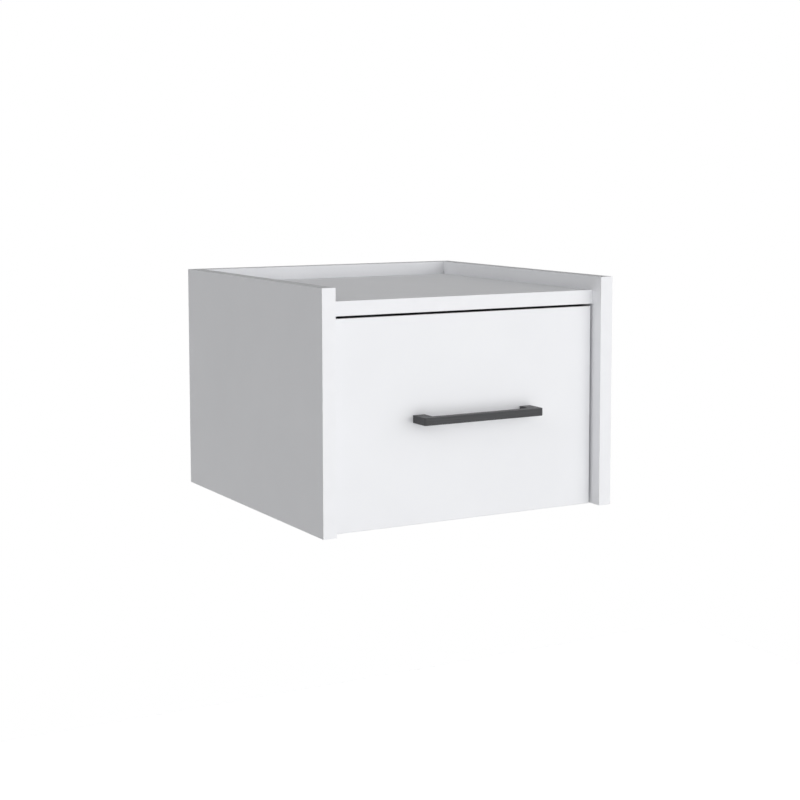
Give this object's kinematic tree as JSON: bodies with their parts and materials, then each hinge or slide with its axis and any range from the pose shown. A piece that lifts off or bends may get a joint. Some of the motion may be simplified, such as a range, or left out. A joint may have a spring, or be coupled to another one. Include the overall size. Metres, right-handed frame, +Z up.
{
  "type": "floating nightstand",
  "caption": "Wall-hung board nightstand with a rimmed recessed top and one inset drawer on roller runners, opened by a flat bar pull.",
  "frame": {"origin": "on the wall plane, at the middle of the back panel's rear face", "axes": "+X to the right seen from the front, +Y into the wall, +Z up; the drawer opens towards -Y"},
  "size_m": [0.35, 0.359, 0.25],
  "materials": {
    "melamine": "white melamine-faced particle board, satin, with very fine texture",
    "edge_band": "white thermoplastic edge band, satin",
    "graphite": "satin graphite coating on die-cast metal",
    "coated_steel": "white epoxy coating on rolled steel",
    "zinc_steel": "bright zinc plating",
    "cast_zinc": "raw die-cast zinc alloy, dull",
    "nylon": "natural white nylon, matte",
    "hardboard": "thin hardboard, white lacquered upper face",
    "beech": "fluted beech, unfinished"
  },
  "bodies": {
    "cabinet": {"left_side_panel": "melamine", "right_side_panel": "melamine", "top_panel": "melamine", "bottom_panel": "melamine", "back_panel": "melamine", "left_side_front_edge_band": "edge_band", "right_side_front_edge_band": "edge_band", "top_panel_front_edge_band": "edge_band", "top_cam_lock_left_front": "cast_zinc", "top_cam_bolt_left_front": "zinc_steel", "bottom_dowel_left_front": "beech", "top_cam_lock_left_rear": "cast_zinc", "top_cam_bolt_left_rear": "zinc_steel", "bottom_dowel_left_rear": "beech", "top_cam_lock_right_front": "cast_zinc", "top_cam_bolt_right_front": "zinc_steel", "bottom_dowel_right_front": "beech", "top_cam_lock_right_rear": "cast_zinc", "top_cam_bolt_right_rear": "zinc_steel", "bottom_dowel_right_rear": "beech", "back_cam_lock_left": "cast_zinc", "back_cam_bolt_left": "zinc_steel", "left_cabinet_rail": "coated_steel", "left_front_roller_axle": "zinc_steel", "left_cabinet_rail_front_screw": "zinc_steel", "left_cabinet_rail_rear_screw": "zinc_steel", "back_cam_lock_right": "cast_zinc", "back_cam_bolt_right": "zinc_steel", "right_cabinet_rail": "coated_steel", "right_front_roller_axle": "zinc_steel", "right_cabinet_rail_front_screw": "zinc_steel", "right_cabinet_rail_rear_screw": "zinc_steel"},
    "drawer": {"drawer_front": "melamine", "drawer_left_side": "melamine", "drawer_right_side": "melamine", "drawer_back": "melamine", "drawer_front_edge_band": "edge_band", "drawer_bottom": "hardboard", "handle": "graphite", "handle_screw_left": "zinc_steel", "drawer_cam_lock_left": "cast_zinc", "drawer_cam_bolt_left": "zinc_steel", "drawer_back_screw_left": "zinc_steel", "left_drawer_rail": "coated_steel", "left_rear_roller_axle": "zinc_steel", "left_drawer_rail_front_screw": "zinc_steel", "left_drawer_rail_rear_screw": "zinc_steel", "handle_screw_right": "zinc_steel", "drawer_cam_lock_right": "cast_zinc", "drawer_cam_bolt_right": "zinc_steel", "drawer_back_screw_right": "zinc_steel", "right_drawer_rail": "coated_steel", "right_rear_roller_axle": "zinc_steel", "right_drawer_rail_front_screw": "zinc_steel", "right_drawer_rail_rear_screw": "zinc_steel"},
    "left_front_roller": {"left_front_roller": "nylon"},
    "left_rear_roller": {"left_rear_roller": "nylon"},
    "right_front_roller": {"right_front_roller": "nylon"},
    "right_rear_roller": {"right_rear_roller": "nylon"}
  },
  "joints": [
    {"name": "drawer_slide", "type": "slide", "parent": "cabinet", "child": "drawer", "axis": [0, -1, 0], "range_m": [0, 0.225]},
    {"name": "left_front_roller_spin", "type": "hinge", "parent": "cabinet", "child": "left_front_roller", "pos_m": [-0.1553, -0.305, -0.084], "axis": [1, 0, 0], "continuous": true},
    {"name": "left_rear_roller_spin", "type": "hinge", "parent": "drawer", "child": "left_rear_roller", "pos_m": [-0.1528, -0.031, -0.0865], "axis": [1, 0, 0], "continuous": true},
    {"name": "right_front_roller_spin", "type": "hinge", "parent": "cabinet", "child": "right_front_roller", "pos_m": [0.1553, -0.305, -0.084], "axis": [1, 0, 0], "continuous": true},
    {"name": "right_rear_roller_spin", "type": "hinge", "parent": "drawer", "child": "right_rear_roller", "pos_m": [0.1528, -0.031, -0.0865], "axis": [1, 0, 0], "continuous": true}
  ],
  "couplings": [
    {"joint": "left_front_roller_spin", "follows": "drawer_slide", "rad_per_m": 111.11},
    {"joint": "left_rear_roller_spin", "follows": "drawer_slide", "rad_per_m": 111.11},
    {"joint": "right_front_roller_spin", "follows": "drawer_slide", "rad_per_m": 111.11},
    {"joint": "right_rear_roller_spin", "follows": "drawer_slide", "rad_per_m": 111.11}
  ]
}
